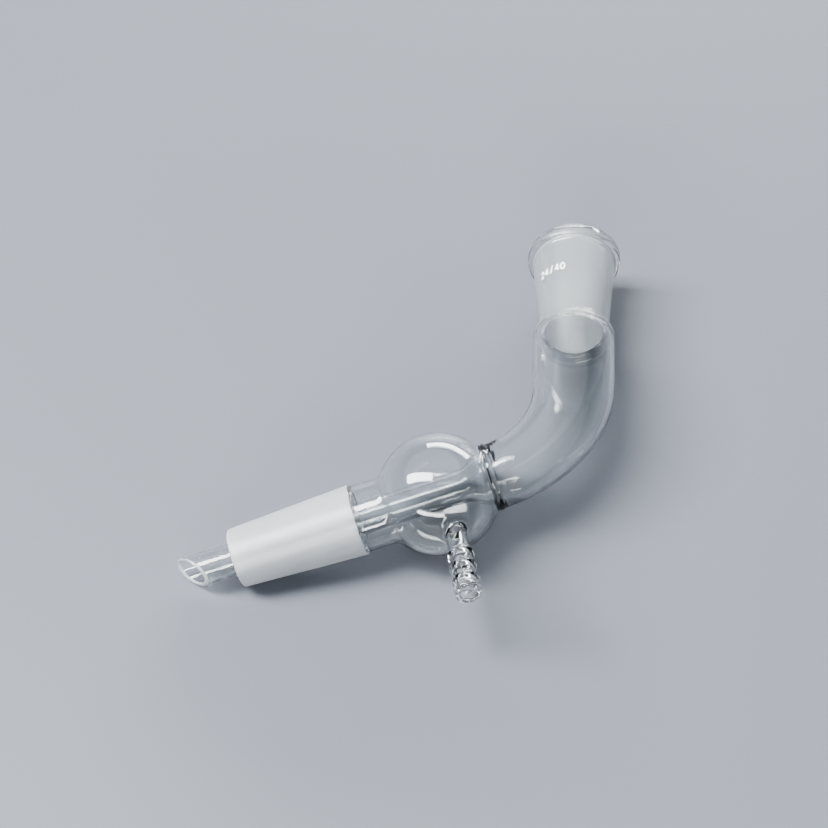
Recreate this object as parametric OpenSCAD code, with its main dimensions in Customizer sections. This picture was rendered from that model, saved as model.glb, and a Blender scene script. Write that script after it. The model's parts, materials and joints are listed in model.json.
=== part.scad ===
// Vacuum take-off adapter: one piece of fused borosilicate glass, lying on a bench.
//
// It joins a condenser to a receiving flask.  The socket at the top takes a 24/40 ground
// cone.  A wide tube bends down from it to a ring seal, where a narrow drip tube is fused
// inside a blown bulb.  The drip tube runs on through the bulb and out of the ground cone
// at the bottom, and its end is cut on the slant.  The bulb carries a ridged hose
// connection, which draws air off through the gap round the drip tube.
//
// The glass is built along its own lines first: X runs up the axis of the ground cone
// from the wide end of the cone, and the bend turns towards +Y.  It is then laid down
// on the three points that it rests on: the bulb, the small end of the cone and the rim
// bead.  The bench is Z = 0, the origin is the middle of the outline on the bench, and
// the socket's axis points along +Y seen from above.

/* [Ground joints] */
// diameter at the wide end of both ground joints
joint_wide_d = 24; // [22:0.5:30]
// diameter at the narrow end of both ground joints
joint_narrow_d = 20; // [17.5:0.5:21]
// ground length of the socket, from the rim
socket_ground_len = 40; // [32:1:50]
// ground length of the cone
cone_ground_len = 43; // [34:1:52]
// wall of the ground cone at its narrow end
cone_wall = 2.2; // [1.4:0.1:2.6]
// wall of the socket at its narrow end
socket_wall = 2.0; // [1.5:0.1:2.6]
// wall of the socket just under the bead
socket_rim_wall = 2.7; // [2:0.1:3.4]
// outside diameter of the rim bead
bead_d = 33.2; // [31:0.2:38]
// height of the rim bead
bead_h = 6; // [4.6:0.2:8]

/* [Tube] */
// angle that the tube turns through
bend_angle = 75; // [60:1:90]
// radius of the bend, at the middle of the tube
bend_r = 36.5; // [30:0.5:46]
// outside diameter of the tube at the ring seal
tube_seal_d = 22; // [20:0.5:24]
// outside diameter of the tube below the socket
tube_d = 28.4; // [26:0.2:31]
// straight length of tube between the bend and the shoulder
tube_straight_len = 22.5; // [12:0.5:36]
// wall of the tube
tube_wall = 1.6; // [1.2:0.1:2.2]

/* [Bulb] */
// outside diameter of the blown bulb
bulb_d = 40.8; // [36:0.4:48]
// distance from the wide end of the cone to the middle of the bulb
bulb_x = 27.4; // [26:0.2:34]
// distance from the wide end of the cone to the ring seal
seal_x = 46; // [44:0.5:54]
// wall of the bulb
bulb_wall = 1.5; // [1.1:0.1:2.2]
// outside diameter of the neck between cone and bulb
neck_d = 22.6; // [21:0.2:24]
// radius of the hollow curve where the neck meets the bulb
neck_fillet = 4; // [2:0.5:7]
// radius of the hollow curve where the bulb meets the ring seal
seal_fillet = 2.6; // [1.6:0.2:4]
// half the thickness of the raised line round the ring seal
seal_ridge = 0.8; // [0.5:0.1:1.2]

/* [Drip tube] */
// outside diameter of the drip tube
drip_d = 11; // [9:0.2:12.4]
// wall of the drip tube
drip_wall = 1.2; // [0.8:0.1:1.6]
// how far the middle of the slanted end stands out of the cone
drip_len = 15.4; // [9:0.2:28]
// angle of the slanted end to the axis
drip_cut = 48; // [35:1:80]
// turn of the slanted end about the axis
drip_turn = -16; // [-90:1:90]
// length over which the tube opens out to the ring seal
funnel_len = 10.5; // [8:0.5:13]

/* [Hose connection] */
// distance from the bulb's middle to the hose connection, along the cone's axis
hose_shift = 3.2; // [0:0.2:5]
// distance from the cone's axis to the end of the hose connection
hose_reach = 50; // [44:1:60]
// turn of the hose connection out of the plane of the bend
hose_turn = 10; // [-20:1:30]
// lean of the hose connection along the cone's axis
hose_lean = -2; // [-8:1:8]
// diameter over the ridges
hose_ridge_d = 8.8; // [7.6:0.2:11]
// diameter between the ridges
hose_root_d = 7; // [6.4:0.2:8.4]
// bore of the hose connection
hose_bore_d = 4.6; // [3:0.2:5]
// distance from one ridge to the next
hose_pitch = 6; // [4.6:0.2:6.6]

/* [Hidden] */
$fn = 128;
glass_colour = [0.86, 0.92, 0.94];

// radii of the ground joints, and how far each is from the other end of the axis
wide_r = joint_wide_d / 2;
narrow_r = joint_narrow_d / 2;
cone_bore_r = narrow_r - cone_wall;
end_round = 0.7;

// tube and neck
tube_r = tube_d / 2;
seal_r = tube_seal_d / 2;
neck_r = neck_d / 2;
neck_bore_r = neck_r - tube_wall;
bulb_r = bulb_d / 2;
bulb_bore_r = bulb_r - bulb_wall;
// inside of the jacket just before the seal
jacket_end_r = seal_r - bulb_wall;

// drip tube: the slanted end, and the funnel that opens out to the seal
drip_r = drip_d / 2;
drip_bore_r = drip_r - drip_wall;
cut_slope = 1 / tan(drip_cut);
drip_end_x = -cone_ground_len - drip_len;
funnel_x = seal_x - funnel_len;
// radius of the funnel's mouth at the seal, where both walls run together
throat_r = seal_r - tube_wall - drip_wall;
// the jacket space stops short of the seal by the thickness of the fused ring
seal_gap = 0.8;
// length past the seal over which the doubled wall thins out again
thin_len = 8;

// the bend widens along its way, in short even lengths
bend_steps = 25;
step_angle = bend_angle / bend_steps;
// each length runs on a little into the next, wider one
lap = 0.4;
taper_len = 0.8 * (bend_r * bend_angle * PI / 180 + tube_straight_len);

// shoulder between tube and socket
shoulder_r = 3;
shoulder_h = sqrt(max(0, pow(shoulder_r, 2) - pow(narrow_r + socket_wall - (tube_r - shoulder_r), 2)));
bore_round = min(shoulder_r, tube_r - tube_wall - narrow_r + 0.6);
bead_round = bead_h / 3;
bead_ring_r = bead_d / 2 - bead_round;
socket_len = socket_ground_len + 1.2;

// ---- where the parts of the bend lie, in the plane of the bend ----
bend_end = [seal_x + bend_r * sin(bend_angle), bend_r * (1 - cos(bend_angle)), 0];
up = [cos(bend_angle), sin(bend_angle), 0];
rim = bend_end + up * (tube_straight_len + socket_len);
bead_mid = rim - up * bead_round;

// outside radius of the tube, a given length past the ring seal
function blend(t) = t <= 0 ? 0 : t >= 1 ? 1 : t * t * (3 - 2 * t);
function tube_out(s) = seal_r + (tube_r - seal_r) * blend(s / taper_len);
function tube_in(s) = tube_out(s) - tube_wall - drip_wall * (1 - blend(s / thin_len));

// ---- the plane that the glass rests on ----
// Its normal touches the bulb, the rounded small end of the cone and the bead.  Each
// round of the sum starts from the last normal, and four rounds settle it.
foot_r = narrow_r - end_round;
foot_x = -cone_ground_len + end_round;
bead_off = bead_ring_r;
function lean_x(n) = (bulb_r - end_round - foot_r * sqrt(1 - n[0] * n[0])) / (bulb_x - foot_x);
function along(n) = n[0] * up[0] + n[1] * up[1];
function bead_drop(n) = bead_off * sqrt(1 - along(n) * along(n)) + bead_round;
function lean_y(n, nx) = (nx * (bulb_x - bead_mid[0]) - (bulb_r - bead_drop(n))) / bead_mid[1];
function with_z(nx, ny) = [nx, ny, sqrt(1 - nx * nx - ny * ny)];
function next_normal(n) = with_z(lean_x(n), lean_y(n, lean_x(n)));
function settle(n, rounds) = rounds == 0 ? n : settle(next_normal(n), rounds - 1);
floor_n = settle([0, 0, 1], 12);
floor_h = floor_n[0] * bulb_x - bulb_r;
turn_x = atan2(floor_n[1], floor_n[2]);
turn_y = -atan2(floor_n[0], sqrt(floor_n[1] * floor_n[1] + floor_n[2] * floor_n[2]));
// directions of the bench before and after it is turned to face the socket
flat_x = [cos(turn_y), sin(turn_y) * sin(turn_x), sin(turn_y) * cos(turn_x)];
flat_y = [0, cos(turn_x), -sin(turn_x)];
turn_z = 90 - atan2(flat_y * up, flat_x * up);
bench_x = flat_x * cos(turn_z) - flat_y * sin(turn_z);
bench_y = flat_x * sin(turn_z) + flat_y * cos(turn_z);

// ---- the outline on the bench, for the origin ----
function reach_ring(c, a, r, t, d) = c * d + r * sqrt(max(0, 1 - pow(a * d, 2))) + t;
tip_y = -cut_slope * cos(drip_turn);
tip_z = -cut_slope * sin(drip_turn);
function reach_tip(d) = d[0] * drip_end_x + drip_r * norm([d[0] * tip_y + d[1], d[0] * tip_z + d[2]]);
hose_dir = [sin(hose_lean), -cos(hose_lean) * cos(hose_turn), cos(hose_lean) * sin(hose_turn)];
hose_foot = [bulb_x + hose_shift, 0, 0];
hose_end_round = (hose_ridge_d - hose_bore_d) / 4;
hose_end = hose_foot + hose_dir * (hose_reach - hose_end_round);
hose_end_r = hose_ridge_d / 2 - hose_end_round;
bend_mid = [seal_x, bend_r, 0];
bend_high = bend_mid * bench_x + bend_r * norm([bench_x[0], bench_x[1]]) + tube_r;
x_high = max(bend_high, reach_ring(bead_mid, up, bead_ring_r, bead_round, bench_x));
x_low = -reach_tip(-bench_x);
y_high = reach_ring(bead_mid, up, bead_ring_r, bead_round, bench_y);
y_low = -reach_ring(hose_end, hose_dir, hose_end_r, hose_end_round, -bench_y);

// ---- profiles, drawn as radius against distance and turned about the axis ----

// points along a circle, from one angle to another
function arc(c, r, a0, a1, n) = [for (i = [0:n]) c + r * [cos(a0 + (a1 - a0) * i / n), sin(a0 + (a1 - a0) * i / n)]];

// half outline of a ball between two tubes: a hollow curve, the ball, and a hollow curve
function curve_y(r, ball, f) = sqrt(pow(ball + f, 2) - pow(r + f, 2));
function ball_line(ball, r0, f0, r1, f1) =
    let (y0 = curve_y(r0, ball, f0), y1 = curve_y(r1, ball, f1))
    let (a0 = atan2(y0, r0 + f0), a1 = atan2(y1, r1 + f1))
    concat(
        arc([r0 + f0, bulb_x - y0], f0, 180, 180 - a0, 6),
        arc([0, bulb_x], ball, 2 - a0, a1 - 2, 26),
        arc([r1 + f1, bulb_x + y1], f1, 180 + a1, 180, 6)
    );

// outside of the drip tube: straight, then a funnel that opens to the seal
function drip_line(r, wide, len, n) = [for (i = [0:n]) [r + (wide - r) * blend(i / n), funnel_x + len * i / n]];

// outside of cone, neck, bulb and the straight stub at the ring seal
module jacket_outside() {
    step = 0.5;
    polygon(concat(
        [[0, -cone_ground_len]],
        arc([narrow_r - end_round, -cone_ground_len + end_round], end_round, -90, 0, 4),
        [[wide_r, -step], [wide_r - 0.6 * step, 0], [neck_r, 0.3 * step]],
        ball_line(bulb_r, neck_r, neck_fillet, seal_r, seal_fillet),
        [[seal_r, seal_x], [0, seal_x]]
    ));
}

// the gap between jacket and drip tube, closed by the fused ring
module jacket_space() {
    far = seal_x - seal_gap;
    out = -cone_ground_len - 1;
    polygon(concat(
        [[drip_r, out], [cone_bore_r, out], [cone_bore_r, -cone_ground_len]],
        [[neck_bore_r, 0]],
        ball_line(bulb_bore_r, neck_bore_r, neck_fillet + tube_wall, jacket_end_r, seal_fillet + bulb_wall),
        [[jacket_end_r, far]],
        [for (i = [10:-1:0]) drip_line(drip_r, jacket_end_r - 0.2, funnel_len - seal_gap, 10)[i]]
    ));
}

// turns a profile about the cone's axis
module about_axis() {
    rotate([90, 0, 90])
        rotate_extrude()
            children();
}

// the bend as a chain of short rings, each a little wider than the last
module bend(inside) {
    for (i = [0:bend_steps - 1]) {
        s = bend_r * (i + 0.5) * step_angle * PI / 180;
        translate([seal_x, bend_r, 0])
            rotate([0, 0, i * step_angle - 90])
                rotate_extrude(angle = step_angle + lap)
                    translate([bend_r, 0])
                        circle(r = inside ? tube_in(s) : tube_out(s));
    }
}

// raised line round the seal, with a short core that ties jacket and bend together
module seal_ring() {
    rotate_extrude()
        translate([seal_r, 0])
            circle(r = seal_ridge);
    translate([0, 0, -1])
        cylinder(h = 2, r = seal_r - seal_ridge / 2);
}

// places what is drawn along Z at the end of the bend, along the upper tube
module upper() {
    translate(bend_end)
        rotate([0, 0, bend_angle])
            rotate([0, 90, 0])
                children();
}

// outside of the upper tube, shoulder, socket and bead
module upper_outside() {
    y0 = tube_straight_len;
    y1 = y0 + socket_len;
    small = narrow_r + socket_wall;
    big = wide_r + socket_rim_wall;
    rotate_extrude() {
        s0 = bend_r * bend_angle * PI / 180;
        polygon([
            [0, 0],
            [tube_out(s0), 0],
            [tube_out(s0 + 0.25 * y0), 0.25 * y0],
            [tube_out(s0 + 0.5 * y0), 0.5 * y0],
            [tube_r, 0.75 * y0],
            [tube_r, y0],
            [0, y0]
        ]);
        intersection() {
            translate([tube_r - shoulder_r, y0])
                circle(r = shoulder_r);
            translate([0, y0])
                square([tube_r, shoulder_r]);
        }
        polygon([
            [0, y0],
            [tube_r - shoulder_r, y0],
            [small, y0 + shoulder_h],
            [big, y1 - bead_h],
            [bead_ring_r, y1 - bead_round],
            [bead_ring_r, y1],
            [0, y1]
        ]);
        for (y = [y1 - bead_round, y1 - bead_h + bead_round])
            translate([bead_ring_r, y])
                circle(r = bead_round);
        translate([wide_r, y1 - bead_h + bead_round])
            square([bead_d / 2 - wide_r, bead_h - 2 * bead_round]);
    }
}

// bore of the upper tube, its rounded end, and the ground socket
module upper_bore() {
    y0 = tube_straight_len - tube_wall + bore_round;
    y1 = tube_straight_len + socket_len;
    bore_r = tube_r - tube_wall;
    ground_y = y1 - socket_ground_len;
    s0 = bend_r * bend_angle * PI / 180;
    rotate_extrude() {
        polygon([
            [0, 0],
            [tube_out(s0) - tube_wall, 0],
            [tube_out(s0 + 0.25 * tube_straight_len) - tube_wall, 0.25 * tube_straight_len],
            [tube_out(s0 + 0.5 * tube_straight_len) - tube_wall, 0.5 * tube_straight_len],
            [bore_r, 0.75 * tube_straight_len],
            [bore_r, ground_y - bore_round],
            [bore_r - bore_round, ground_y],
            [narrow_r, ground_y],
            [wide_r, y1],
            [wide_r + 1, y1 + 1],
            [0, y1 + 1]
        ]);
        intersection() {
            translate([bore_r - bore_round, ground_y - bore_round])
                circle(r = bore_round);
            translate([0, ground_y - bore_round])
                square([bore_r, bore_round]);
        }
    }
}

// outside of the hose connection: a spread foot, three ridges and a rounded end
module hose_outside() {
    foot = bulb_r - 4;
    ridge = hose_ridge_d / 2;
    root = hose_root_d / 2;
    last = hose_reach - hose_end_round;
    rotate_extrude() {
        polygon([
            [0, foot],
            [root + 3, foot],
            [root + 2.4, foot + 3.2],
            [root + 0.9, foot + 4.4],
            [root, foot + 6.4],
            [root, last],
            [0, last]
        ]);
        for (i = [1:3]) {
            y = hose_reach - 3 - i * hose_pitch + hose_pitch;
            polygon([
                [0, y - 4.2],
                [root - 0.1, y - 4.2],
                [ridge, y - 3.2],
                [ridge, y - 2.4],
                [root - 0.1, y + 0.4],
                [0, y + 0.4]
            ]);
        }
        translate([0, hose_reach - 2.6])
            square([ridge, 2.6 - hose_end_round]);
        polygon([
            [0, hose_reach - 3.6],
            [root - 0.1, hose_reach - 3.6],
            [ridge, hose_reach - 2.6],
            [0, hose_reach - 2.6]
        ]);
        translate([hose_end_r, last])
            circle(r = hose_end_round);
        translate([0, last])
            square([hose_end_r, hose_end_round]);
    }
}

module hose() {
    translate(hose_foot)
        rotate([90 - hose_turn, 0, 0])
            rotate([0, hose_lean, 0])
                children();
}

// everything on the far side of the slanted end
module drip_cutter() {
    rotate([drip_turn, 0, 0])
        translate([drip_end_x, 0, 0])
            rotate([0, 0, 90 - drip_cut])
                translate([-40, -40, -40])
                    cube([40, 80, 80]);
}

module glass_solid() {
    difference() {
        union() {
            about_axis()
                jacket_outside();
            about_axis()
                translate([0, drip_end_x - 12])
                    square([drip_r, funnel_x - drip_end_x + 12]);
            translate([seal_x, 0, 0])
                rotate([0, 90, 0])
                    seal_ring();
            bend(false);
            upper()
                upper_outside();
            hose()
                hose_outside();
        }
        about_axis()
            jacket_space();
        about_axis()
            polygon(concat(
                [[0, drip_end_x - 20], [drip_bore_r, drip_end_x - 20]],
                drip_line(drip_bore_r, throat_r, funnel_len, 10),
                [[throat_r, seal_x + 0.2], [0, seal_x + 0.2]]
            ));
        bend(true);
        upper()
            upper_bore();
        hose()
            translate([0, 0, bulb_r - 5])
                cylinder(h = hose_reach, d = hose_bore_d);
        drip_cutter();
    }
}

module glass() {
    color(glass_colour)
        translate([-(x_low + x_high) / 2, -(y_low + y_high) / 2, -floor_h])
            rotate([turn_x, turn_y, turn_z])
                glass_solid();
}

glass();
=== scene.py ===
"""Vacuum take-off adapter: one piece of clear and ground glass, lying on a bench."""

import json
import math

import bpy
import numpy as np
from bpy.props import FloatProperty, FloatVectorProperty, IntProperty, PointerProperty
from bpy.types import Operator, Panel, PropertyGroup
from mathutils import Matrix, Vector


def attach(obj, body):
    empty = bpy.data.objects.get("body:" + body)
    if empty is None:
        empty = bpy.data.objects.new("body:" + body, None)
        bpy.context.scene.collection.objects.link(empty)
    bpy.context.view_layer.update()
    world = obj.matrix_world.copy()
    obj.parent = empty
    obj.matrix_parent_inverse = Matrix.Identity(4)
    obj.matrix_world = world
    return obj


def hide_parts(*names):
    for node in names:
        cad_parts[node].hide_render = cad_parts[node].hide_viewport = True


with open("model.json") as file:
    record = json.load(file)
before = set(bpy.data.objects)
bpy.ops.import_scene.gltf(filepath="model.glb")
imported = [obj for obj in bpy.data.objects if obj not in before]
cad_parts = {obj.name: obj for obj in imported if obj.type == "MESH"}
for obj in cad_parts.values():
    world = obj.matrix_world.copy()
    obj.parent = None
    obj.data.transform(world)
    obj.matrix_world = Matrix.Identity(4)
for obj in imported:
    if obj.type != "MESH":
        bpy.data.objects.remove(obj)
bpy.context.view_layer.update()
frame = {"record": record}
MOUNTS = {m["name"]: m for m in frame["record"]["mounts"]}

bl_info = {
    "name": "Vacuum take-off adapter",
    "version": (1, 0, 0),
    "blender": (4, 5, 0),
    "location": "View3D > Sidebar > Adapter",
    "description": "Builds a bent glass adapter with ground joints, and the bench it lies on",
    "category": "Object",
}

# fixed sizes in millimetres
CONE_END_ROUND = 0.7
SOCKET_EXTRA = 1.2
SHOULDER_R = 3.0
THIN_LENGTH = 8.0
# share of the bend and the straight tube over which the tube widens
TAPER_SHARE = 0.8

# half width and height of the raised line at the seal, as shares of the seal_ridge setting
RIDGE_WIDE, RIDGE_HIGH = 1.8, 0.58
# how far below the cone the shear towards the slanted end starts, in millimetres
SHEAR_START = 2.5
# half the block of faces left out for the hose connection: along the glass, round it
HOLE_ALONG, HOLE_ROUND = 12, 8
# roundness where the hose connection's bore opens into the bulb, in millimetres
BORE_ROUND = 0.5

# the size mark in millimetres: top of the socket to the foot of the figures, height at which
# the socket's slope starts, how far the ink sinks into the glass, width and height of a stroke
MARK_DROP = 20.2
SOCKET_FOOT = 2.9
MARK_SINK = 0.02
STROKE_WIDE, STROKE_THICK = 0.56, 0.07
# first and last angle of the size mark round the socket
MARK_FIRST, MARK_LAST = math.radians(43), math.radians(89)

GLASS_IOR = 1.474
# half the bench's side, in metres
BENCH_HALF = 5.0
# colours of the world at the horizon and overhead
HORIZON = (0.27, 0.283, 0.312, 1)
CEILING = (0.04, 0.045, 0.055, 1)

# name, place, size and power of each softbox: metres and watts, all aimed at the origin
SOFTBOXES = (
    ("softbox_key", (-3.08, 0.34, 5.12), (1.7, 5.2), 760.0),
    ("strip_back", (0.80, 3.80, 1.10), (4.0, 0.60), 176.0),
    ("strip_front", (-0.70, -3.80, 1.40), (3.6, 0.50), 120.0),
)
# soft sun that stands for a bright ceiling: strength, width and tilt in degrees
GLOW_POWER, GLOW_WIDTH, GLOW_TILT = 0.9, 100, (-15, -10)
# place and aim in metres, roll in degrees, sensor in millimetres
CAMERA_PLACE = (0.050805, -0.320729, 0.510026)
CAMERA_AIM = (0.003437, 0.002184, 0.020)
CAMERA_ROLL = -6.285
CAMERA_SENSOR = 36.0


def length(name, text, default):
    """A size in metres, given in millimetres."""
    return FloatProperty(
        name=name, description=text, default=default / 1000, min=0.0, unit="LENGTH", precision=5
    )


def angle(name, text, default):
    """An angle, given in degrees."""
    return FloatProperty(
        name=name, description=text, default=math.radians(default), subtype="ANGLE"
    )


def colour(name, text, default):
    """A colour without alpha."""
    return FloatVectorProperty(
        name=name, description=text, default=default, size=3, subtype="COLOR", min=0.0, max=1.0
    )


class GlassSizes(PropertyGroup):
    """Sizes of the glass, along its own centre line."""

    joint_wide_d: length("Joint, wide", "Diameter at the wide end of both ground joints", 24)
    joint_narrow_d: length("Joint, narrow", "Diameter at the narrow end of both ground joints", 20)
    socket_ground: length("Socket ground", "Ground length of the socket, from its rim", 40)
    cone_ground: length("Cone ground", "Ground length of the cone", 43)
    cone_wall: length("Cone wall", "Wall of the cone at its narrow end", 2.2)
    socket_wall: length("Socket wall", "Wall of the socket at its narrow end", 2.0)
    socket_rim_wall: length("Socket rim wall", "Wall of the socket under the bead", 2.7)
    bead_d: length("Bead", "Outside diameter of the rim bead", 33.2)
    bead_h: length("Bead height", "Height of the rim bead", 6)
    bend_angle: angle("Bend", "Angle that the tube turns through", 75)
    bend_r: length("Bend radius", "Radius of the bend at the middle of the tube", 36.5)
    seal_d: length("Tube at seal", "Outside diameter of the tube at the ring seal", 22)
    tube_d: length("Tube", "Outside diameter of the tube below the socket", 28.4)
    straight: length("Straight tube", "Straight tube between bend and shoulder", 22.5)
    tube_wall: length("Tube wall", "Wall of the tube", 1.6)
    bulb_d: length("Bulb", "Outside diameter of the blown bulb", 40.8)
    bulb_x: length("Bulb place", "Distance from the cone to the middle of the bulb", 27.4)
    seal_x: length("Seal place", "Distance from the cone to the ring seal", 46)
    bulb_wall: length("Bulb wall", "Wall of the bulb", 1.5)
    neck_d: length("Neck", "Outside diameter of the neck between cone and bulb", 22.6)
    neck_fillet: length("Neck curve", "Radius of the curve where the neck meets the bulb", 4)
    seal_fillet: length("Seal curve", "Radius of the curve where the bulb meets the seal", 2.6)
    seal_ridge: length("Seal line", "Half the thickness of the raised line round the seal", 0.8)
    drip_d: length("Drip tube", "Outside diameter of the drip tube", 11)
    drip_wall: length("Drip wall", "Wall of the drip tube", 1.2)
    drip_len: length("Drip length", "How far the slanted end stands out of the cone", 15.4)
    drip_cut: angle("Slant", "Angle of the slanted end to the axis", 48)
    drip_turn: angle("Slant turn", "Turn of the slanted end about the axis", -16)
    funnel: length("Funnel", "Length over which the drip tube opens to the seal", 10.5)


class HoseSizes(PropertyGroup):
    """Sizes of the hose connection."""

    shift: length("Shift", "Distance from the bulb's middle along the cone's axis", 3.2)
    reach: length("Reach", "Distance from the cone's axis to the end", 50)
    turn: angle("Turn", "Turn out of the plane of the bend", 10)
    lean: angle("Lean", "Lean along the cone's axis", -2)
    ridge_d: length("Ridges", "Diameter over the ridges", 8.8)
    root_d: length("Root", "Diameter between the ridges", 7)
    bore_d: length("Bore", "Bore of the hose connection", 4.6)
    pitch: length("Pitch", "Distance from one ridge to the next", 6)
    foot_d: length("Foot", "Diameter of the spread foot on the bulb", 12.4)


class FinishColours(PropertyGroup):
    """Colours and finish of the glass, the size mark and the bench."""

    clear: colour("Clear glass", "Tint of the clear glass", (0.972, 0.988, 0.988))
    ground: colour("Ground glass", "Colour of the ground faces", (0.76, 0.79, 0.81))
    ground_rough: FloatProperty(
        name="Ground roughness",
        description="Roughness of the ground faces",
        default=0.40,
        min=0,
        max=1,
        subtype="FACTOR",
    )
    ink: colour("Size mark", "Colour of the printed size mark", (1.0, 1.0, 1.0))
    bench: colour("Bench", "Colour of the bench", (0.16, 0.172, 0.20))
    mark_h: length("Mark height", "Height of the figures in the size mark", 3.1)
    lens: FloatProperty(
        name="Lens", description="Focal length of the camera, in millimetres", default=75.26, min=1
    )
    rings: IntProperty(name="Sides", description="Divisions round the glass", default=128, min=32)


# ---------------------------------------------------------------- shapes


def mm(group):
    """The sizes of a group as plain numbers: lengths in millimetres, angles in radians."""
    out = {}
    for key, prop in group.bl_rna.properties.items():
        if prop.type == "FLOAT" and not prop.is_array:
            value = getattr(group, key)
            out[key] = value * 1000 if prop.unit == "LENGTH" else value
    return out


def blend(t):
    """Smooth step: 3t squared minus 2t cubed, held at 0 and 1 outside."""
    t = np.clip(t, 0.0, 1.0)
    return t * t * (3 - 2 * t)


def arc(centre, r, a0, a1, n):
    """Points on a circle in the (distance, radius) plane: distance is the centre's plus r sin a."""
    a = np.radians(np.linspace(a0, a1, n + 1))
    return np.column_stack([centre[0] + r * np.sin(a), centre[1] + r * np.cos(a)])


def line(p, q, n):
    """Evenly spaced points from p to q: p (1 - t) + q t."""
    t = np.linspace(0, 1, n + 1)[:, None]
    return np.asarray(p, float) * (1 - t) + np.asarray(q, float) * t


def ball_line(g, ball, r0, f0, r1, f1, n):
    """Hollow curve, ball, hollow curve, each arc meeting the next with the same slope.

    A hollow curve's centre lies one ball radius plus one curve radius from the ball's centre,
    and one curve radius outside the neck or the seal, so its place comes from Pythagoras.
    """
    x = g["bulb_x"]
    y0 = math.sqrt((ball + f0) ** 2 - (r0 + f0) ** 2)
    y1 = math.sqrt((ball + f1) ** 2 - (r1 + f1) ** 2)
    a0 = math.degrees(math.atan2(y0, r0 + f0))
    a1 = math.degrees(math.atan2(y1, r1 + f1))
    first = arc((x - y0, r0 + f0), -f0, 0, -a0, 10)
    middle = arc((x, 0), ball, -a0, a1, n)
    last = arc((x + y1, r1 + f1), -f1, a1, 0, 10)
    return first, middle, last


def tube_out(g, s):
    """Outside radius of the tube, a length s past the seal: a smooth step from seal to socket."""
    bend = g["bend_r"] * g["bend_angle"]
    full = TAPER_SHARE * (bend + g["straight"])
    return g["seal_d"] / 2 + (g["tube_d"] - g["seal_d"]) / 2 * blend(s / full)


def tube_in(g, s):
    """Inside radius of the tube: the doubled wall at the seal thins out past it."""
    return tube_out(g, s) - g["tube_wall"] - g["drip_wall"] * (1 - blend(s / THIN_LENGTH))


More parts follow.
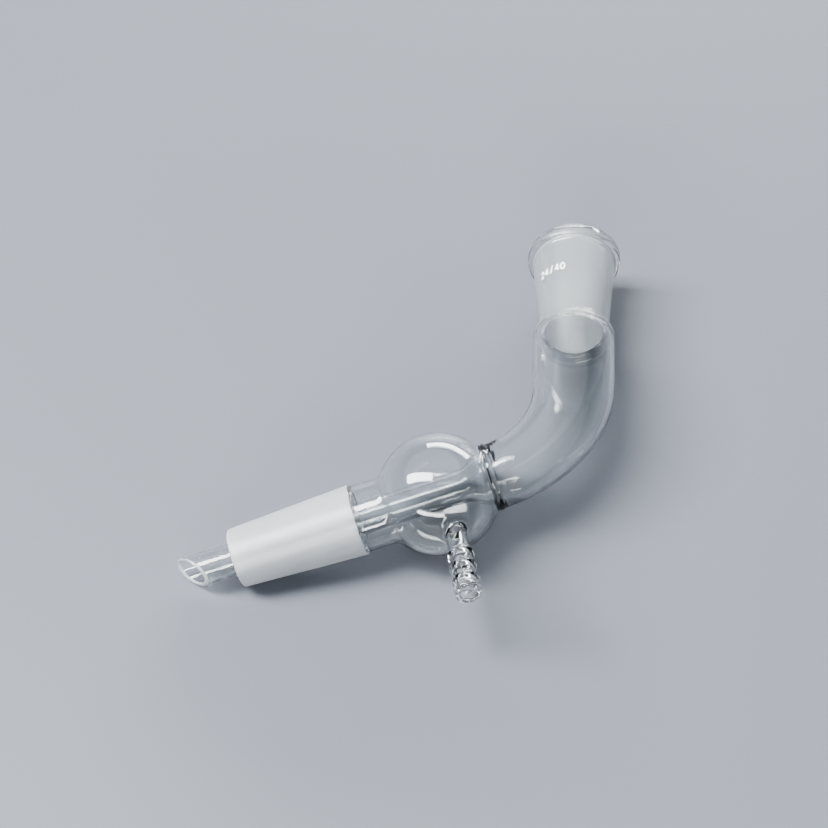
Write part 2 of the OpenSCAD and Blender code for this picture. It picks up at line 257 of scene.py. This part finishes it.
def outline(g):
    """The closed line round the glass wall, as (distance, radius) rows, with names per stretch.

    It runs up the outside from the small end of the cone to the rim, down the bore to the
    slanted end, back up the outside of the drip tube to the seal, and down inside the bulb.
    """
    wide, narrow = g["joint_wide_d"] / 2, g["joint_narrow_d"] / 2
    end, er = -g["cone_ground"], CONE_END_ROUND
    bore0 = narrow - g["cone_wall"]
    neck, neck_in = g["neck_d"] / 2, g["neck_d"] / 2 - g["tube_wall"]
    ball, ball_in = g["bulb_d"] / 2, g["bulb_d"] / 2 - g["bulb_wall"]
    seal, jacket = g["seal_d"] / 2, g["seal_d"] / 2 - g["bulb_wall"]
    sx, rr = g["seal_x"], g["seal_ridge"]
    bend = g["bend_r"] * g["bend_angle"]
    y0 = sx + bend + g["straight"]
    y1 = y0 + g["socket_ground"] + SOCKET_EXTRA
    small, big = narrow + g["socket_wall"], wide + g["socket_rim_wall"]
    tube = g["tube_d"] / 2
    br = g["bead_h"] / 3
    ring = g["bead_d"] / 2 - br
    parts = []

    def add(name, pts):
        """Put a named stretch at the end of the line."""
        parts.append((name, np.asarray(pts, float)))

    add("cone_bore", arc((end + 0.4, bore0 + 0.4), 0.4, 180, 270, 4))
    add("cone_end", arc((end + er, narrow - er), er, -90, 0, 5))
    add("cone", line((end + er, narrow), (-0.5, wide), 24))
    add("cone_step", arc((-0.5, wide - 0.5), 0.5, 0, 90, 4))
    add("neck", [(0.1, neck + 0.1), (0.3, neck)])
    f0, f1, f2 = ball_line(g, ball, neck, g["neck_fillet"], seal, g["seal_fillet"], 62)
    add("neck", line((0.8, neck), f0[0], 6))
    add("neck", f0)
    add("ball", f1)
    add("seal", f2)
    a = np.linspace(-1, 1, 17)
    swell = RIDGE_HIGH * rr * np.cos(a * np.pi / 2) ** 2
    add("seal", np.column_stack([sx + RIDGE_WIDE * rr * a, seal + swell]))
    s = np.linspace(RIDGE_WIDE * rr + 0.3, bend + g["straight"], 74)
    add("tube", np.column_stack([sx + s, tube_out(g, s)]))
    sr = SHOULDER_R
    drop = math.degrees(math.acos((small - tube + sr) / sr))
    add("shoulder", arc((y0, tube - sr), sr, 0, drop - 12, 12))
    foot = y0 + sr * math.sin(math.radians(drop))
    add("shoulder", [(foot + 0.25, small + 0.16), (foot + 0.7, small + 0.06)])
    add("socket", line((foot + 1.4, small + 0.06), (y1 - g["bead_h"] - 1.6, big - 0.10), 22))
    t = np.linspace(0, 1, 7)
    flare = (ring + br * 0.62 - big) * t * t
    add("bead", np.column_stack([y1 - g["bead_h"] - 1.2 + 1.9 * t, big - 0.06 + flare]))
    add("bead", arc((y1 - g["bead_h"] + br, ring), br, -48, 0, 6))
    add("bead", arc((y1 - br, ring), br, 0, 90, 12))
    add("mouth", line((y1, ring - 0.4), (y1, wide + 0.6), 3))
    add("mouth", arc((y1 - 0.5, wide + 0.5), -0.5, -90, -10, 4))
    gy = y1 - g["socket_ground"]
    add("socket_bore", line((y1 - 0.6, wide), (gy + 0.35, narrow), 24))
    add("bore_end", [(gy + 0.05, narrow + 0.1), (gy - 0.06, narrow + 0.45)])
    tin = tube - g["tube_wall"]
    add("bore_end", arc((gy - sr, tin - sr), sr, math.degrees(math.acos(0.9 / sr)), 0, 9))
    s = np.linspace(gy - 3.6 - sx, 0.0, 66)
    add("tube_bore", np.column_stack([sx + s, tube_in(g, s)]))
    throat = seal - g["tube_wall"] - g["drip_wall"]
    drip, bore = g["drip_d"] / 2, g["drip_d"] / 2 - g["drip_wall"]
    t = np.linspace(1, 0, 27)[1:]
    add("funnel", np.column_stack([sx - g["funnel"] * (1 - t), bore + (throat - bore) * blend(t)]))
    tip = end - g["drip_len"]
    add("drip_bore", line((sx - g["funnel"] - 3, bore), (tip + 1.2, bore), 34))
    half = g["drip_wall"] / 2
    add("tip", arc((tip + 0.35, drip - half), half, -180, 0, 12))
    add("drip", line((tip + 1.3, drip), (sx - g["funnel"] - 0.6, drip), 36))
    t = np.linspace(0, 1, 25)
    fl = g["funnel"] - 0.8
    widen = (jacket - 0.2 - drip) * blend(t)
    add("drip", np.column_stack([sx - g["funnel"] + fl * t, drip + widen]))
    add("apex", [(sx - 0.72, jacket - 0.1)])
    neck_curve, seal_curve = g["neck_fillet"] + g["tube_wall"], g["seal_fillet"] + g["bulb_wall"]
    f0, f1, f2 = ball_line(g, ball_in, neck_in, neck_curve, jacket, seal_curve, 62)
    add("jacket", f2[::-1])
    add("ball_in", f1[::-1])
    add("jacket", f0[::-1])
    add("jacket", line((f0[0][0] - 0.5, neck_in), (0.6, neck_in), 6))
    add("jacket", line((-0.6, neck_in - 0.03), (end + 1.0, bore0), 12))
    pts = np.concatenate([p for _, p in parts])
    names = np.concatenate([[n] * len(p) for n, p in parts])
    keep = np.concatenate([[True], np.linalg.norm(np.diff(pts, axis=0), axis=1) > 1e-4])
    return pts[keep], names[keep]


def own_axes():
    """Origin and axes of the glass's own lines, worked out from the cone and socket mounts.

    X runs up the cone's axis, Y is the part of the socket's axis at right angles to it.
    """
    x = -np.array(MOUNTS["cone"]["axis"], float)
    x /= np.linalg.norm(x)
    y = np.array(MOUNTS["socket"]["axis"], float)
    y -= (y @ x) * x
    y /= np.linalg.norm(y)
    origin = np.array(MOUNTS["cone"]["pos_m"], float)
    return origin, np.stack([x, y, np.cross(x, y)])


def to_bench(points):
    """Points in the glass's own lines, in millimetres, moved to the bench frame in metres."""
    origin, axes = own_axes()
    return origin + (points / 1000.0) @ axes


def along_bend(g, s):
    """Centre, direction and inner normal of the centre line at distance s.

    The line is straight up to the seal, then an arc of the bend's radius, then straight.
    """
    r, total = g["bend_r"], g["bend_angle"]
    a = np.clip((s - g["seal_x"]) / r, 0, total)
    bent = s > g["seal_x"]
    x = np.where(bent, g["seal_x"] + r * np.sin(a), s)
    y = np.where(bent, r * (1 - np.cos(a)), 0.0)
    over = np.clip(s - g["seal_x"] - r * total, 0, None)
    zero = np.zeros_like(a)
    t = np.stack([np.cos(a), np.sin(a), zero], -1)
    n = np.stack([-np.sin(a), np.cos(a), zero], -1)
    c = np.stack([x, y, zero], -1) + over[..., None] * t
    return c, t, n


def sweep(g, pts, sides):
    """Carry the outline round the centre line: a point is centre + r (cos p * normal + sin p * Z).

    Near the slanted end the distance is sheared by the slope of the cut, which keeps every
    point of the drip tube on its own cylinder.
    """
    p = np.linspace(0, 2 * np.pi, sides, endpoint=False)
    r = pts[:, 1][:, None]
    y, z = r * np.cos(p), r * np.sin(p)
    slope = 1 / math.tan(g["drip_cut"])
    turn = g["drip_turn"]
    cut = -slope * (y * math.cos(turn) + z * math.sin(turn))
    start = -g["cone_ground"] - SHEAR_START
    reach = g["drip_len"] - SHEAR_START
    on_drip = pts[:, 1][:, None] < g["drip_d"] / 2 + 0.01
    w = blend((start - pts[:, 0][:, None]) / reach) * on_drip
    s = pts[:, 0][:, None] + w * cut
    c, _, n = along_bend(g, s)
    return c + y[..., None] * n + z[..., None] * np.array([0.0, 0.0, 1.0])


def on_ball(g, foot, radial, ball, up):
    """Height along the hose connection at which a line from its foot plane leaves the ball.

    With w from the ball's centre to the line's start, the height k makes |w + k up| the
    ball's radius: k is the root of (w.up) squared - w.w + radius squared, less w.up.
    """
    w = foot + radial - np.array([g["bulb_x"], 0, 0])
    b = w @ up
    return -b + np.sqrt(b * b - (w * w).sum(-1) + ball * ball)


def hose_outline(g, h):
    """Radius against height of the hose connection above its foot, outside and then inside.

    The outside has three ridges, each a table of points smoothed by a short running mean, and
    ends in half a circle from the last ridge to the bore.
    """
    root, ridge, bore = h["root_d"] / 2, h["ridge_d"] / 2, h["bore_d"] / 2
    er = (h["ridge_d"] - h["bore_d"]) / 4
    top = h["reach"]
    rows = [(g["bulb_d"] / 2 + 3.6, root)]
    for i in (3, 2, 1):
        y = top - 3 - (i - 1) * h["pitch"]
        rows += [
            (y - 4.7, root),
            (y - 4.2, root + 0.08),
            (y - 3.7, (root + ridge) / 2),
            (y - 3.25, ridge - 0.08),
            (y - 2.9, ridge),
            (y - 2.4, ridge - 0.04),
            (y - 1.6, (root + ridge) / 2 + 0.1),
            (y - 0.4, root + 0.12),
        ]
    rows += [
        (top - 3.5, root + 0.06),
        (top - 3.0, (root + ridge) / 2),
        (top - 2.5, ridge - 0.08),
        (top - 1.9, ridge),
    ]
    rows = np.array(rows)
    fine = np.linspace(0, 1, 5)[:-1]
    k = (rows[:-1, 0][:, None] + fine * np.diff(rows[:, 0])[:, None]).ravel()
    r = np.interp(k, rows[:, 0], rows[:, 1])
    kernel = np.array([1, 2, 3, 2, 1]) / 9.0
    r[2:-2] = np.convolve(r, kernel, "valid")
    out = np.column_stack([k, r])
    a = np.radians(np.linspace(0, 180, 13))
    end = np.column_stack([top - er + er * np.sin(a), (ridge + bore) / 2 + er * np.cos(a)])
    inward = np.linspace(top - er - 0.8, g["bulb_d"] / 2 + 0.6, 22)
    down = np.column_stack([inward, np.full(len(inward), bore)])
    return out, np.concatenate([end, down])


def hose_rings(g, h, loop_out, loop_in):
    """Rings of the hose connection, from the hole in the outer ball to the hole in the inner one.

    Every ring has one point for each point of the outer hole, at that point's angle about the
    connection's axis.  Between hole and foot the radius runs evenly and the height is the
    ball's; on the foot the height gains a quarter circle; above it the profile takes over.
    """
    turn, lean = h["turn"], h["lean"]
    flat_way = math.cos(lean)
    up = np.array([math.sin(lean), -flat_way * math.cos(turn), flat_way * math.sin(turn)])
    e1 = np.cross(up, [0.0, 0.0, 1.0])
    e1 /= np.linalg.norm(e1)
    e2 = np.cross(up, e1)
    foot = np.array([g["bulb_x"] + h["shift"], 0.0, 0.0])

    def polar(loop):
        """Angle and distance of a loop's points about the connection's axis."""
        d = loop - foot
        return np.unwrap(np.arctan2(d @ e2, d @ e1)), np.hypot(d @ e1, d @ e2)

    def ring(th, rho):
        """Points in the foot plane: rho (cos th * e1 + sin th * e2)."""
        return np.cos(th)[:, None] * e1 * rho[:, None] + np.sin(th)[:, None] * e2 * rho[:, None]

    th, rho = polar(loop_out)
    th_in, rho_in = polar(loop_in)
    th_in = th_in + np.round((th[0] - th_in[0]) / (2 * np.pi)) * 2 * np.pi
    ball, ball_in = g["bulb_d"] / 2, g["bulb_d"] / 2 - g["bulb_wall"]
    wide, root = h["foot_d"] / 2, h["root_d"] / 2
    one = np.ones_like(th)
    rings = []
    for t in np.linspace(0, 1, 5)[1:]:
        flat = ring(th, rho * (1 - t) + wide * t)
        rings.append(foot + flat + on_ball(g, foot, flat, ball, up)[:, None] * up)
    rise = wide - root
    for a in np.radians(np.linspace(0, 90, 12)[1:]):
        flat = ring(th, (wide - rise * math.sin(a)) * one)
        k = on_ball(g, foot, flat, ball, up) + rise * (1 - math.cos(a))
        rings.append(foot + flat + k[:, None] * up)
    last = (rings[-1] - foot) @ up
    out, back = hose_outline(g, h)
    for t in (0.33, 0.67):
        rings.append(foot + ring(th, root * one) + (last * (1 - t) + out[0, 0] * t)[:, None] * up)
    for k, r in np.concatenate([out, back]):
        rings.append(foot + ring(th, r * one) + k * up)
    bore = h["bore_d"] / 2
    for a in np.radians(np.linspace(0, 90, 5)):
        flat = ring(th, (bore + BORE_ROUND * (1 - math.cos(a))) * one)
        k = on_ball(g, foot, flat, ball_in, up) + BORE_ROUND * (1 - math.sin(a))
        rings.append(foot + flat + k[:, None] * up)
    for t in np.linspace(0, 1, 6)[1:-1]:
        flat = ring(th * (1 - t) + th_in * t, (bore + BORE_ROUND) * (1 - t) + rho_in * t)
        rings.append(foot + flat + on_ball(g, foot, flat, ball_in, up)[:, None] * up)
    return np.array(rings)


def block_loop(i0, i1, j0, j1, sides):
    """Indices round a block of the grid: along i0, up j1, back along i1, down j0."""
    step = 1 if i1 > i0 else -1
    i = np.arange(i0, i1 + step, step)
    j = np.arange(j0, j1 + 1)
    rows = np.concatenate([np.full(len(j) - 1, i0), i[:-1], np.full(len(j) - 1, i1), i[::-1][:-1]])
    cols = np.concatenate([j[:-1], np.full(len(i) - 1, j1), j[::-1][:-1], np.full(len(i) - 1, j0)])
    return rows * sides + cols % sides


def glass_mesh(g, h, sides):
    """The whole glass as one closed surface, with a mask of its ground faces.

    The outline carried round the centre line makes a closed grid.  A block of it is left
    out of the outer and of the inner ball, and the hose connection's rings join the two.
    """
    pts, names = outline(g)
    grid = sweep(g, pts, sides)
    n = len(pts)
    index = np.arange(n * sides).reshape(n, sides)
    above = np.roll(index, -1, 0)
    quads = np.stack([index, np.roll(index, -1, 1), np.roll(above, -1, 1), above], -1)
    mid = g["bulb_x"] + h["shift"] + math.sin(h["lean"]) * g["bulb_d"] / 2
    half_i, half_j = HOLE_ALONG, HOLE_ROUND
    phi = math.pi - h["turn"]
    j_mid = int(round(phi / (2 * math.pi) * sides))
    j0, j1 = j_mid - half_j, j_mid + half_j
    outer = np.flatnonzero(names == "ball")
    inner = np.flatnonzero(names == "ball_in")
    io = outer[np.argmin(np.abs(pts[outer, 0] - mid))]
    ii = inner[np.argmin(np.abs(pts[inner, 0] - mid))]
    keep = np.ones((n, sides), bool)
    keep[io - half_i : io + half_i, j0:j1] = False
    keep[ii - half_i : ii + half_i, j0:j1] = False
    loop_out = block_loop(io - half_i, io + half_i, j0, j1, sides)
    loop_in = block_loop(ii + half_i, ii - half_i, j0, j1, sides)
    flat = grid.reshape(-1, 3)
    rings = hose_rings(g, h, flat[loop_out], flat[loop_in])
    m, c = rings.shape[:2]
    ring_index = np.concatenate([[loop_out], n * sides + np.arange(m * c).reshape(m, c), [loop_in]])
    a, b = ring_index[:-1], ring_index[1:]
    hose = np.stack([a, np.roll(a, -1, 1), np.roll(b, -1, 1), b], -1)
    ground = np.isin(names, ["cone", "cone_end", "tip", "socket_bore"])
    mask = np.repeat((ground & np.roll(ground, -1))[:, None], sides, 1)
    points = np.concatenate([flat, rings.reshape(-1, 3)])
    faces = np.concatenate([quads[keep], hose.reshape(-1, 4)])
    kind = np.concatenate([mask[keep], np.zeros(hose.size // 4, bool)])
    used = np.unique(faces)
    lookup = np.full(len(points), -1)
    lookup[used] = np.arange(len(used))
    return to_bench(points[used]), lookup[faces], kind


def outward(points, faces):
    """Faces turned so that the closed surface's signed volume is positive."""
    a, b, c, d = (points[faces[:, k]] for k in range(4))
    volume = (np.cross(a, b) * c).sum() + (np.cross(a, c) * d).sum()
    return faces if volume > 0 else faces[:, ::-1]


def put_mesh(name, points, faces, kind=None):
    """A smooth-shaded mesh object from arrays of points and four-sided faces."""
    mesh = bpy.data.meshes.new(name)
    mesh.vertices.add(len(points))
    mesh.vertices.foreach_set("co", np.ascontiguousarray(points, np.float32).ravel())
    mesh.loops.add(faces.size)
    mesh.loops.foreach_set("vertex_index", np.ascontiguousarray(faces, np.int32).ravel())
    mesh.polygons.add(len(faces))
    mesh.polygons.foreach_set("loop_start", np.arange(0, faces.size, 4, dtype=np.int32))
    mesh.polygons.foreach_set("use_smooth", np.ones(len(faces), bool))
    if kind is not None:
        mesh.polygons.foreach_set("material_index", kind.astype(np.int32))
    mesh.update(calc_edges=True)
    mesh.validate()
    obj = bpy.data.objects.new(name, mesh)
    bpy.context.collection.objects.link(obj)
    return obj


def stroke_digit(figure):
    """Strokes of a figure, as rows of points in a box one unit high and 0.6 wide.

    They are arcs of circles, (x, y) = centre + r (sin a, cos a), and straight lines.
    """
    a = np.radians(np.linspace(0, 360, 17))
    if figure == "0":
        return [np.column_stack([0.3 + 0.26 * np.sin(a), 0.5 + 0.46 * np.cos(a)])]
    if figure == "2":
        b = np.radians(np.linspace(-80, 130, 10))
        top = np.column_stack([0.3 + 0.25 * np.sin(b), 0.70 + 0.25 * np.cos(b)])
        return [np.concatenate([top, [[0.06, 0.04], [0.56, 0.04]]])]
    if figure == "4":
        return [np.array([[0.42, 0.02], [0.42, 0.97], [0.04, 0.30], [0.58, 0.30]])]
    return [np.array([[0.12, -0.05], [0.5, 1.05]])]


def ribbon(points, normals, sides, width, thick):
    """A flat bar along a path: its four corners are path +- width * side, at two heights."""
    w, t = sides * width / 2, normals * thick
    ring = np.stack([points - w, points + w, points + w + t, points - w + t], 1)
    n = len(points)
    index = np.arange(n * 4).reshape(n, 4)
    a, b = index[:-1], index[1:]
    walls = np.stack([a, b, np.roll(b, -1, 1), np.roll(a, -1, 1)], -1).reshape(-1, 4)
    ends = np.array([index[0], index[-1][::-1]])
    return ring.reshape(-1, 3), np.concatenate([walls, ends])


# ---------------------------------------------------------------- finishes


def noise_group(name, sockets, details):
    """An empty group with named numbers and a vector in, and a height and a mask out.

    It starts with two noise textures on the vector, of the two details given.
    """
    group = bpy.data.node_groups.new(name, "ShaderNodeTree")
    face = group.interface
    for label, value in sockets:
        socket = face.new_socket(label, in_out="INPUT", socket_type="NodeSocketFloat")
        socket.default_value = value
    face.new_socket("Vector", in_out="INPUT", socket_type="NodeSocketVector")
    for label in ("Height", "Mask"):
        face.new_socket(label, in_out="OUTPUT", socket_type="NodeSocketFloat")
    n, link = group.nodes, group.links.new
    inp, out = n.new("NodeGroupInput"), n.new("NodeGroupOutput")
    noises = []
    for detail in details:
        noise = n.new("ShaderNodeTexNoise")
        noise.inputs["Detail"].default_value = detail
        link(inp.outputs["Vector"], noise.inputs["Vector"])
        noises.append(noise)
    return group, inp, out, noises


def polish_group():
    """Slow waves that flame working leaves in glass, as a height and a mask."""
    name = "flame_polish"
    if name in bpy.data.node_groups:
        return bpy.data.node_groups[name]
    sockets = (("Scale", 60.0), ("Stretch", 0.6))
    group, inp, out, (wave, fine) = noise_group(name, sockets, (1.0, 4.0))
    link = group.links.new
    link(inp.outputs["Scale"], wave.inputs["Scale"])
    link(inp.outputs["Stretch"], wave.inputs["Distortion"])
    fine.inputs["Scale"].default_value = 300.0
    ramp = group.nodes.new("ShaderNodeMapRange")
    ramp.inputs["From Min"].default_value = 0.55
    ramp.inputs["From Max"].default_value = 0.8
    link(fine.outputs["Fac"], ramp.inputs["Value"])
    link(wave.outputs["Fac"], out.inputs["Height"])
    link(ramp.outputs["Result"], out.inputs["Mask"])
    return group


def grind_group():
    """Fine grain of a ground face as a height, and soft clouds in it as a mask."""
    name = "ground_grain"
    if name in bpy.data.node_groups:
        return bpy.data.node_groups[name]
    sockets = (("Grain", 2600.0), ("Cloud", 90.0))
    group, inp, out, (grain, cloud) = noise_group(name, sockets, (3.0, 5.0))
    link = group.links.new
    link(inp.outputs["Grain"], grain.inputs["Scale"])
    link(inp.outputs["Cloud"], cloud.inputs["Scale"])
    link(grain.outputs["Fac"], out.inputs["Height"])
    link(cloud.outputs["Fac"], out.inputs["Mask"])
    return group


def new_material(name, group):
    """A material whose Principled shader has a group on object coordinates beside it."""
    mat = bpy.data.materials.new(name)
    mat.use_nodes = True
    tree = mat.node_tree
    coords = tree.nodes.new("ShaderNodeTexCoord")
    grp = tree.nodes.new("ShaderNodeGroup")
    grp.node_tree = group
    tree.links.new(coords.outputs["Object"], grp.inputs["Vector"])
    return mat, tree, tree.nodes["Principled BSDF"], grp


def tint(tree, grp, bsdf, base, dark):
    """Base Color between a darkened and the plain base colour, by the group's mask."""
    tone = tree.nodes.new("ShaderNodeMix")
    tone.data_type = "RGBA"
    tone.inputs["A"].default_value = (*(v * dark for v in base), 1)
    tone.inputs["B"].default_value = (*base, 1)
    tree.links.new(grp.outputs["Mask"], tone.inputs["Factor"])
    tree.links.new(tone.outputs["Result"], bsdf.inputs["Base Color"])


def roughen(tree, grp, bsdf, low, high):
    """Roughness from the group's mask, between a low and a high value."""
    rough = tree.nodes.new("ShaderNodeMapRange")
    rough.inputs["To Min"].default_value = low
    rough.inputs["To Max"].default_value = high
    tree.links.new(grp.outputs["Mask"], rough.inputs["Value"])
    tree.links.new(rough.outputs["Result"], bsdf.inputs["Roughness"])


def relief(tree, grp, bsdf, strength, distance):
    """Normal from the group's height, as a bump."""
    bump = tree.nodes.new("ShaderNodeBump")
    bump.inputs["Strength"].default_value = strength
    bump.inputs["Distance"].default_value = distance
    tree.links.new(grp.outputs["Height"], bump.inputs["Height"])
    tree.links.new(bump.outputs["Normal"], bsdf.inputs["Normal"])


def clear_glass(c):
    """Clear glass: full transmission, a trace of waviness, and faint marks in the polish."""
    mat, tree, bsdf, grp = new_material("clear_glass", polish_group())
    bsdf.inputs["Base Color"].default_value = (*c.clear, 1)
    bsdf.inputs["Transmission Weight"].default_value = 1.0
    bsdf.inputs["Metallic"].default_value = 0.0
    bsdf.inputs["IOR"].default_value = GLASS_IOR
    roughen(tree, grp, bsdf, 0.0, 0.03)
    relief(tree, grp, bsdf, 0.05, 0.0006)
    return mat


def ground_glass(c):
    """Ground glass: rough and milky, with a fine grain and soft clouds in its tone."""
    mat, tree, bsdf, grp = new_material("ground_glass", grind_group())
    bsdf.inputs["Transmission Weight"].default_value = 0.62
    bsdf.inputs["Metallic"].default_value = 0.0
    bsdf.inputs["IOR"].default_value = GLASS_IOR
    tint(tree, grp, bsdf, c.ground, 0.93)
    roughen(tree, grp, bsdf, c.ground_rough - 0.08, c.ground_rough + 0.08)
    relief(tree, grp, bsdf, 0.25, 0.0001)
    return mat


def mark_ink(c):
    """White enamel of the size mark, a little uneven in tone."""
    mat, tree, bsdf, grp = new_material("white_enamel", grind_group())
    grp.inputs["Cloud"].default_value = 900.0
    tint(tree, grp, bsdf, c.ink, 0.85)
    bsdf.inputs["Roughness"].default_value = 0.45
    return mat


def studio_sweep(tree):
    """World colour: a grey horizon fading to a dim ceiling, by the height of the direction."""
    n, link = tree.nodes, tree.links.new
    coords, split = n.new("ShaderNodeTexCoord"), n.new("ShaderNodeSeparateXYZ")
    fade, mix = n.new("ShaderNodeMapRange"), n.new("ShaderNodeMix")
    fade.interpolation_type = "SMOOTHSTEP"
    fade.inputs["From Min"].default_value = 0.05
    fade.inputs["From Max"].default_value = 0.45
    mix.data_type = "RGBA"
    mix.inputs["A"].default_value = HORIZON
    mix.inputs["B"].default_value = CEILING
    link(coords.outputs["Generated"], split.inputs["Vector"])
    link(split.outputs["Z"], fade.inputs["Value"])
    link(fade.outputs["Result"], mix.inputs["Factor"])
    link(mix.outputs["Result"], n["Background"].inputs["Color"])


def bench_finish(c):
    """Plain matt bench, with a barely visible unevenness.  Strong lights make it look pale."""
    mat, tree, bsdf, grp = new_material("bench", grind_group())
    grp.inputs["Cloud"].default_value = 6.0
    tint(tree, grp, bsdf, c.bench, 0.97)
    bsdf.inputs["Roughness"].default_value = 0.55
    return mat


# ---------------------------------------------------------------- operators


def aimed(place, target):
    """Matrix of a lamp or camera at a place, looking at a target, with Y up."""
    aim = Vector(target) - Vector(place)
    return Matrix.Translation(place) @ aim.to_track_quat("-Z", "Y").to_matrix().to_4x4()


class ADAPTER_OT_glass(Operator):
    """Make the clear and ground glass body and its hose connection"""

    bl_idname = "adapter.glass"
    bl_label = "Glass body"

    def execute(self, context):
        scene = context.scene
        points, faces, kind = glass_mesh(
            mm(scene.adapter_glass), mm(scene.adapter_hose), scene.adapter_finish.rings
        )
        obj = put_mesh("adapter_glass", points, outward(points, faces), kind)
        obj.data.materials.append(clear_glass(scene.adapter_finish))
        obj.data.materials.append(ground_glass(scene.adapter_finish))
        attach(obj, "root")
        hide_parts("glass")
        return {"FINISHED"}


class ADAPTER_OT_size_mark(Operator):
    """Print the joint size in white figures on the outside of the socket"""

    bl_idname = "adapter.size_mark"
    bl_label = "Size mark"

    def execute(self, context):
        g = mm(context.scene.adapter_glass)
        c = context.scene.adapter_finish
        high = c.mark_h * 1000
        y0 = g["seal_x"] + g["bend_r"] * g["bend_angle"] + g["straight"]
        y1 = y0 + g["socket_ground"] + SOCKET_EXTRA
        small = g["joint_narrow_d"] / 2 + g["socket_wall"]
        big = g["joint_wide_d"] / 2 + g["socket_rim_wall"]
        text = f"{g['joint_wide_d']:.0f}/{g['socket_ground']:.0f}"
        base = y1 - MARK_DROP
        pitch = (MARK_LAST - MARK_FIRST) / len(text)
        foot = y0 + SOCKET_FOOT
        points, faces, count = [], [], 0
        for i, figure in enumerate(text):
            for row in stroke_digit(figure):
                fine = np.linspace(0, len(row) - 1, 4 * (len(row) - 1) + 1)
                u = np.interp(fine, np.arange(len(row)), row[:, 0])
                v = np.interp(fine, np.arange(len(row)), row[:, 1])
                p = MARK_FIRST + pitch * (i + 1.25 * u)
                s = base + high * v
                r = small + (big - small) * (s - foot) / (y1 - g["bead_h"] - foot) - MARK_SINK
                centre, _, n = along_bend(g, s)
                out = np.cos(p)[:, None] * n + np.sin(p)[:, None] * np.array([0.0, 0.0, 1.0])
                path = centre + r[:, None] * out
                way = np.gradient(path, axis=0)
                way /= np.linalg.norm(way, axis=1)[:, None]
                side = np.cross(out, way)
                side /= np.linalg.norm(side, axis=1)[:, None]
                pts, quads = ribbon(path, out, side, STROKE_WIDE, STROKE_THICK)
                points.append(pts)
                faces.append(quads + count)
                count += len(pts)
        points = to_bench(np.concatenate(points))
        faces = np.concatenate(faces)
        obj = put_mesh("size_mark", points, outward(points, faces))
        obj.data.polygons.foreach_set("use_smooth", np.zeros(len(faces), bool))
        obj.data.materials.append(mark_ink(c))
        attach(obj, "root")
        return {"FINISHED"}


class ADAPTER_OT_stage(Operator):
    """Set out the bench, the lights and the camera"""

    bl_idname = "adapter.stage"
    bl_label = "Bench, lights and camera"

    def execute(self, context):
        scene = context.scene
        c = scene.adapter_finish
        t = np.linspace(-BENCH_HALF, BENCH_HALF, 9)
        x, y = np.meshgrid(t, t, indexing="ij")
        points = np.stack([x, y, np.zeros_like(x)], -1).reshape(-1, 3)
        index = np.arange(x.size).reshape(x.shape)
        corners = [index[:-1, :-1], index[1:, :-1], index[1:, 1:], index[:-1, 1:]]
        bench = put_mesh("bench", points, np.stack(corners, -1).reshape(-1, 4))
        bench.data.materials.append(bench_finish(c))

        for name, place, size, power in SOFTBOXES:
            lamp = bpy.data.lights.new(name, "AREA")
            lamp.shape = "RECTANGLE"
            lamp.size, lamp.size_y = size
            lamp.energy = power
            obj = bpy.data.objects.new(name, lamp)
            obj.visible_camera = False
            scene.collection.objects.link(obj)
            obj.matrix_world = aimed(place, (0.0, 0.0, 0.0))
        sky = bpy.data.lights.new("ceiling_glow", "SUN")
        sky.energy = GLOW_POWER
        sky.angle = math.radians(GLOW_WIDTH)
        glow = bpy.data.objects.new("ceiling_glow", sky)
        glow.rotation_euler = (math.radians(GLOW_TILT[0]), math.radians(GLOW_TILT[1]), 0)
        scene.collection.objects.link(glow)
        world = bpy.data.worlds.new("studio")
        world.use_nodes = True
        studio_sweep(world.node_tree)
        scene.world = world
        scene.view_settings.look = "AgX - High Contrast"

        cam = bpy.data.cameras.new("camera")
        cam.lens = c.lens
        cam.sensor_width = CAMERA_SENSOR
        obj = bpy.data.objects.new("camera", cam)
        scene.collection.objects.link(obj)
        roll = Matrix.Rotation(math.radians(CAMERA_ROLL), 4, "Z")
        obj.matrix_world = aimed(CAMERA_PLACE, CAMERA_AIM) @ roll
        scene.camera = obj
        return {"FINISHED"}


class ADAPTER_PT_panel(Panel):
    """Sizes, colours and makers of the adapter"""

    bl_label = "Vacuum take-off adapter"
    bl_space_type = "VIEW_3D"
    bl_region_type = "UI"
    bl_category = "Adapter"

    def draw(self, context):
        column = self.layout.column()
        scene = context.scene
        for group in (scene.adapter_glass, scene.adapter_hose, scene.adapter_finish):
            for key in group.__annotations__:
                column.prop(group, key)
        for maker in (ADAPTER_OT_glass, ADAPTER_OT_size_mark, ADAPTER_OT_stage):
            column.operator(maker.bl_idname)


CLASSES = (
    GlassSizes,
    HoseSizes,
    FinishColours,
    ADAPTER_OT_glass,
    ADAPTER_OT_size_mark,
    ADAPTER_OT_stage,
    ADAPTER_PT_panel,
)


def register():
    """Add the classes and their settings."""
    for cls in CLASSES:
        bpy.utils.register_class(cls)
    bpy.types.Scene.adapter_glass = PointerProperty(type=GlassSizes)
    bpy.types.Scene.adapter_hose = PointerProperty(type=HoseSizes)
    bpy.types.Scene.adapter_finish = PointerProperty(type=FinishColours)


def unregister():
    """Take the settings and the classes away again."""
    for key in ("adapter_glass", "adapter_hose", "adapter_finish"):
        delattr(bpy.types.Scene, key)
    for cls in reversed(CLASSES):
        bpy.utils.unregister_class(cls)


def main():
    """Make every piece and the stage."""
    register()
    bpy.ops.adapter.glass()
    bpy.ops.adapter.size_mark()
    bpy.ops.adapter.stage()


if __name__ == "__main__":
    main()
